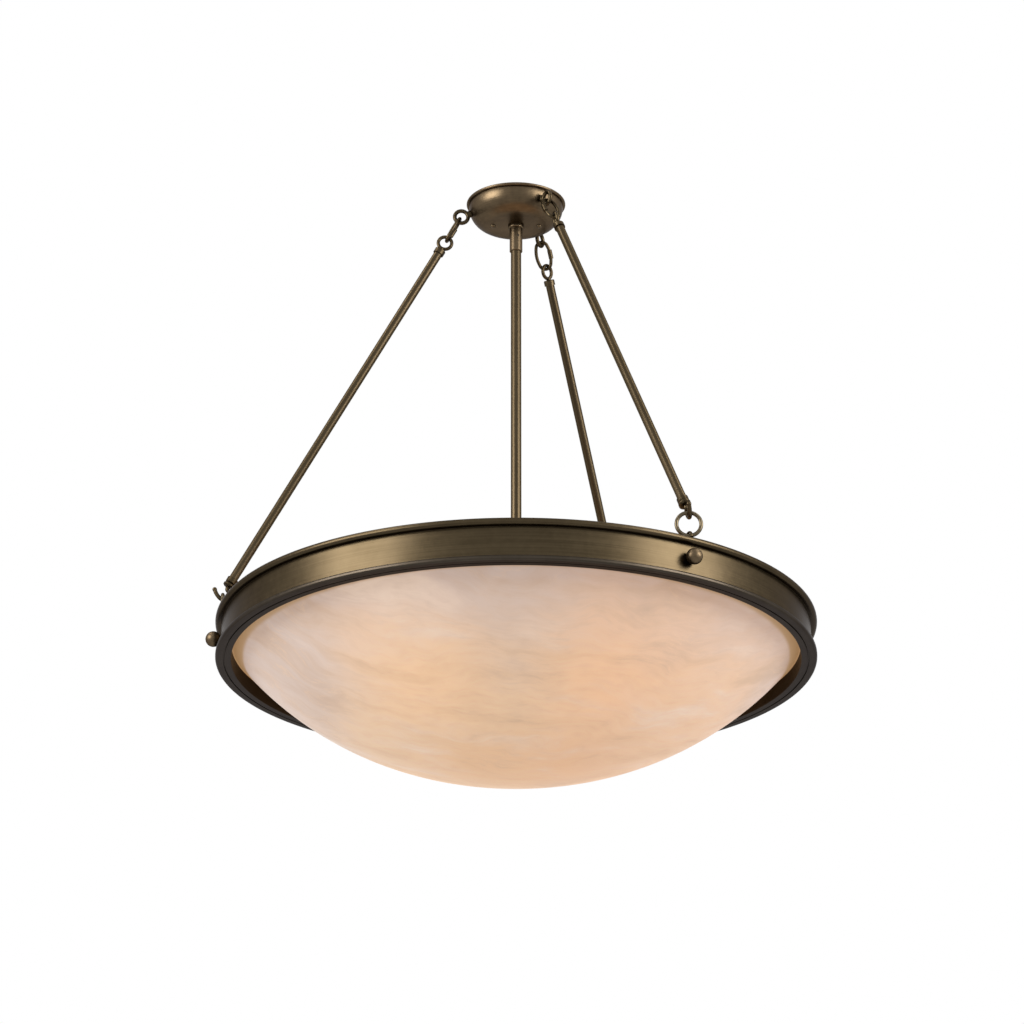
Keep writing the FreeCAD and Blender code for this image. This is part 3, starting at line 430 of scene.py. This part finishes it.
def turned(name, corners, base, node, body):  # a corner's third number bends the line to the next corner
    section = []
    for index, corner in enumerate(corners):
        section.append(corner[:2])
        if len(corner) == 3:
            section += arcBetween(corner[:2], corners[(index + 1) % len(corners)][:2], corner[2])
    piece = show(name, turnedMesh(name, section, base))
    ease = piece.modifiers.new("ease", "BEVEL")
    ease.width = turning["ease"] * mm
    ease.segments = turning["easeSteps"]
    ease.limit_method = "ANGLE"
    ease.angle_limit = math.radians(turning["sharp"])
    ease.harden_normals = True
    piece.data.materials.append(looks[slotOf[node]])
    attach(piece, body)
    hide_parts(node)


band = {"beadReach": 8.0, "beadArc": 4.5, "wall": 2.5}


def makeBand():
    low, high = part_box("frame_band")
    outer, tall = high.x / mm, (high.z - low.z) / mm
    web, arc = outer - band["beadReach"], band["beadArc"]
    turned("frameBand", [(web - band["wall"], 0), (web, 0), (web, tall - arc * 2),
                         (outer - arc, tall - arc * 2, arc), (outer, tall - arc, arc), (outer - arc, tall),
                         (web - band["wall"], tall)],
           low.z, "frame_band", "frame")


trim = {"flange": 20.0, "thick": 6.5, "rounding": 2.6, "wall": 2.2, "seat": 6.3, "seatThick": 2.0,
        "grooveInset": 11.0, "grooveWide": 1.8, "grooveDeep": 1.6}


def makeTrim():
    low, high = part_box("bottom_trim")
    outer, tall = high.x / mm, (high.z - low.z) / mm
    opening, thick, arc = outer - trim["flange"], trim["thick"], trim["rounding"]
    groove, half, deep = outer - trim["grooveInset"], trim["grooveWide"] / 2, trim["grooveDeep"]
    wall, seat = opening + trim["wall"], opening + trim["seat"]
    turned("bottomTrim", [(opening, 0), (groove - half, 0), (groove - half, deep), (groove + half, deep),
                          (groove + half, 0), (outer - arc, 0, arc), (outer, arc), (outer, thick - arc, arc),
                          (outer - arc, thick), (wall, thick), (wall, tall - trim["seatThick"]),
                          (seat, tall - trim["seatThick"]), (seat, tall), (opening, tall)],
           low.z, "bottom_trim", "frame")


def makeBowl():
    lines = bowlLines()
    lip, top, rim, side = lines["lip"], lines["top"], lines["rim"], lines["side"]
    floor, wall, shoulder, ease = bowl["floorArc"], bowl["wall"], bowl["shoulder"], bowl["lipEase"]
    inside = lines["sideOut"] + math.sqrt((side - wall) ** 2 - (lines["sideUp"] - top) ** 2)
    turned("stoneBowl", [(0, 0, floor), (shoulder, lines["rise"], side), (lines["neck"], rim), (lip, rim),
                         (lip, top - ease, ease), (lip - ease, top), (inside, top, wall - side),
                         (shoulder - wall * lines["sine"], lines["rise"] + wall * lines["cosine"],
                          wall - floor), (0, wall)],
           lines["base"], "bowl", "bowl")


makeBand()
makeTrim()
makeBowl()
print("stage: turned pieces")

lamps = {
    "topLeft": {"place": (-1.6, -0.4, 1.9), "aim": (0, 0, -0.5), "size": (0.8, 0.8), "power": 20},
    "topRight": {"place": (1.6, -0.4, 1.9), "aim": (0, 0, -0.5), "size": (0.8, 0.8), "power": 20},
    "keyLeft": {"place": (-2.39, -1.43, 0.22), "aim": (0, 0, -0.55), "size": (1.7, 1.5), "power": 82},
    "keyRight": {"place": (2.44, -1.35, 0.22), "aim": (0, 0, -0.55), "size": (1.7, 1.5), "power": 82},
}
lampColor = (1.0, 0.97, 0.93)


def areaLight(name, place, aim, size, power):
    lamp = bpy.data.lights.new(name, "AREA")
    lamp.shape = "RECTANGLE"
    lamp.size, lamp.size_y = size
    lamp.energy = power
    lamp.color = lampColor
    thing = show(name, lamp)
    thing.location = place
    thing.rotation_euler = (Vector(aim) - Vector(place)).to_track_quat("-Z", "Y").to_euler()


studio = {"backdrop": (1.0, 1.0, 1.0), "soft": (0.95, 0.96, 1.0), "softStrength": 0.38}


def makeWorld():
    world = bpy.data.worlds.new("studio")
    bpy.context.scene.world = world
    net = Net(world)
    net.tree.nodes.clear()
    soft = net.make("ShaderNodeBackground", None,
                    {"Color": studio["soft"], "Strength": studio["softStrength"]})
    backdrop = net.make("ShaderNodeBackground", None, {"Color": studio["backdrop"]})
    mix = net.make("ShaderNodeMixShader", None, [net.seen(), soft, backdrop])
    net.add("ShaderNodeOutputWorld", None, {"Surface": mix})


view = {"reach": 4.545, "height": -2.2255, "aside": -0.0053, "pitch": 21.45, "focalPixels": 3800,
        "picturePixels": 1024, "sensor": 36.0, "clipEnd": 1000}


def makeCamera():
    camera = bpy.data.cameras.new("camera")
    camera.lens = view["focalPixels"] / view["picturePixels"] * view["sensor"]
    camera.sensor_width = view["sensor"]
    camera.clip_end = view["clipEnd"]
    thing = show("camera", camera)
    thing.location = (view["aside"], -view["reach"], view["height"])
    thing.rotation_euler = (math.radians(90 + view["pitch"]), 0, 0)
    bpy.context.scene.camera = thing


ground = {"reach": 400.0, "height": -5.6, "grain": (3.0, 4.0, 0.6), "pale": (0.88, 0.87, 0.85),
          "shade": (0.84, 0.83, 0.81), "rough": 0.9, "unseen": (0.0, 0.0, 0.0), "seen": (0.50, 0.495, 0.485)}


def makeFloor():
    mesh = bpy.data.meshes.new("floor")
    reach, height = ground["reach"], ground["height"]
    mesh.from_pydata([(-reach, -reach, height), (reach, -reach, height), (reach, reach, height),
                      (-reach, reach, height)], [], [(0, 1, 2, 3)])
    floor = show("floor", mesh)
    net = newNet("paleFloor")
    grain = net.noise(net.place(), *ground["grain"])
    mesh.materials.append(net.surface(
        Base_Color=net.blend(grain, ground["pale"], ground["shade"]), Roughness=ground["rough"],
        Emission_Color=net.blend(net.seen(), ground["unseen"], ground["seen"]), Emission_Strength=1.0))


bpy.context.scene.view_settings.view_transform = "Standard"
makeWorld()
makeCamera()
makeFloor()
for name, lamp in lamps.items():
    areaLight(name, **lamp)
print("stage: studio")
